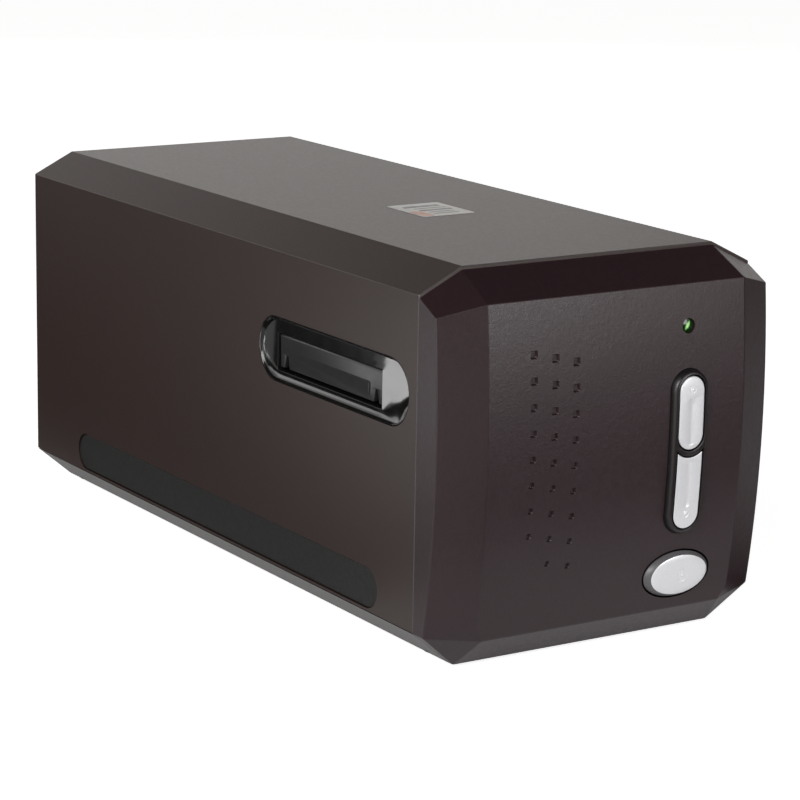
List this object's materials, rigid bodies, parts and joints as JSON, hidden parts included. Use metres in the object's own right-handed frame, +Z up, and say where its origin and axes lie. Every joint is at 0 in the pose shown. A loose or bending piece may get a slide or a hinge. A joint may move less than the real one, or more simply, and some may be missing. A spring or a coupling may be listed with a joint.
{
  "type": "film negative scanner",
  "caption": "Desktop scanner for film strips and slides: long eight-sided housing, bulged front with push buttons and a light, and a film slot with a sprung hinged door in each side.",
  "frame": {"origin": "on the table, under the middle of the part's box", "axes": "+X to the right seen from the front, +Y from the front to the back, +Z up"},
  "size_m": [0.12, 0.2742, 0.121],
  "materials": {
    "housing": "fine spark-eroded grain, dark brown black",
    "base": "fine grain",
    "gloss_black": "high gloss",
    "door": "semi gloss",
    "rubber": "matt",
    "silver": "silver lacquer",
    "light": "clear light pipe, lit green",
    "board": "solder mask",
    "frame": "fine grain",
    "steel": "ground",
    "mirror": "front-silvered",
    "glass": "polished",
    "diffuser": "opal",
    "gear": "natural acetal",
    "cable": "satin",
    "socket": "satin"
  },
  "bodies": {
    "housing": {"upper_cover": "housing", "base_tray": "base", "front_bezel": "housing", "rear_panel": "housing", "foot_front_left": "rubber", "foot_front_right": "rubber", "foot_back_left": "rubber", "foot_back_right": "rubber", "left_slot_bezel": "gloss_black", "left_door_spring": "steel", "left_side_strip": "rubber", "left_guide_rod": "steel", "right_slot_bezel": "gloss_black", "right_door_spring": "steel", "right_side_strip": "rubber", "right_guide_rod": "steel", "status_light": "light", "button_board": "board", "film_channel": "frame", "film_channel_roof": "frame", "detent_spring": "steel", "scan_frame": "frame", "stepper_motor": "steel", "drive_belt": "rubber", "main_board": "board", "usb_socket": "steel", "power_socket": "socket", "ribbon_cable": "cable"},
    "left_door": {"left_slot_door": "door"},
    "right_door": {"right_slot_door": "door"},
    "scan_button_upper": {"scan_button_upper": "silver"},
    "scan_button_lower": {"scan_button_lower": "silver"},
    "power_button": {"power_button": "silver"},
    "detent": {"detent_plunger": "steel"},
    "carriage": {"optics_carriage": "frame", "optics_lid": "frame", "fold_mirror": "mirror", "lens_barrel": "frame", "lens_glass": "glass", "sensor_board": "board", "lamp_post": "steel", "lamp_housing": "frame", "lamp_board": "board", "lamp_diffuser": "diffuser"},
    "drive_gear": {"drive_gear": "gear"},
    "idler_pulley": {"idler_pulley": "gear"},
    "motor_pinion": {"motor_pinion": "gear"}
  },
  "joints": [
    {"name": "left_door_hinge", "type": "hinge", "parent": "housing", "child": "left_door", "pos_m": [-0.0567, -0.0666, 0.08635], "axis": [0, -1, 0], "range_deg": [-78, 78], "stiffness_Nm_per_rad": 0.002},
    {"name": "right_door_hinge", "type": "hinge", "parent": "housing", "child": "right_door", "pos_m": [0.0567, -0.0666, 0.08635], "axis": [0, 1, 0], "range_deg": [-78, 78], "stiffness_Nm_per_rad": 0.002},
    {"name": "scan_button_upper_slide", "type": "slide", "parent": "housing", "child": "scan_button_upper", "axis": [0, 1, 0], "range_m": [0, 0.001], "stiffness_N_per_m": 300, "springref_m": -0.001},
    {"name": "scan_button_lower_slide", "type": "slide", "parent": "housing", "child": "scan_button_lower", "axis": [0, 1, 0], "range_m": [0, 0.001], "stiffness_N_per_m": 300, "springref_m": -0.001},
    {"name": "power_button_slide", "type": "slide", "parent": "housing", "child": "power_button", "axis": [0, 1, 0], "range_m": [0, 0.001], "stiffness_N_per_m": 300, "springref_m": -0.001},
    {"name": "detent_slide", "type": "slide", "parent": "housing", "child": "detent", "axis": [0, 0, -1], "range_m": [0, 0.0012], "stiffness_N_per_m": 100, "springref_m": -0.001, "deforming": ["detent_spring"]},
    {"name": "carriage_slide", "type": "slide", "parent": "housing", "child": "carriage", "axis": [0, -1, 0], "range_m": [0, 0.026]},
    {"name": "drive_gear_spin", "type": "hinge", "parent": "housing", "child": "drive_gear", "pos_m": [0.042, 0.09, 0.025], "axis": [1, 0, 0], "range_deg": [0, 230]},
    {"name": "idler_spin", "type": "hinge", "parent": "housing", "child": "idler_pulley", "pos_m": [0.042, -0.089, 0.025], "axis": [1, 0, 0], "range_deg": [0, 230]},
    {"name": "motor_pinion_spin", "type": "hinge", "parent": "housing", "child": "motor_pinion", "pos_m": [0.047, 0.1, 0.0385], "axis": [1, 0, 0], "range_deg": [-570, 0]}
  ],
  "couplings": [
    {"joint": "drive_gear_spin", "follows": "carriage_slide", "rad_per_m": 151.52},
    {"joint": "idler_spin", "follows": "carriage_slide", "rad_per_m": 151.52},
    {"joint": "motor_pinion_spin", "follows": "carriage_slide", "rad_per_m": -378.79}
  ]
}
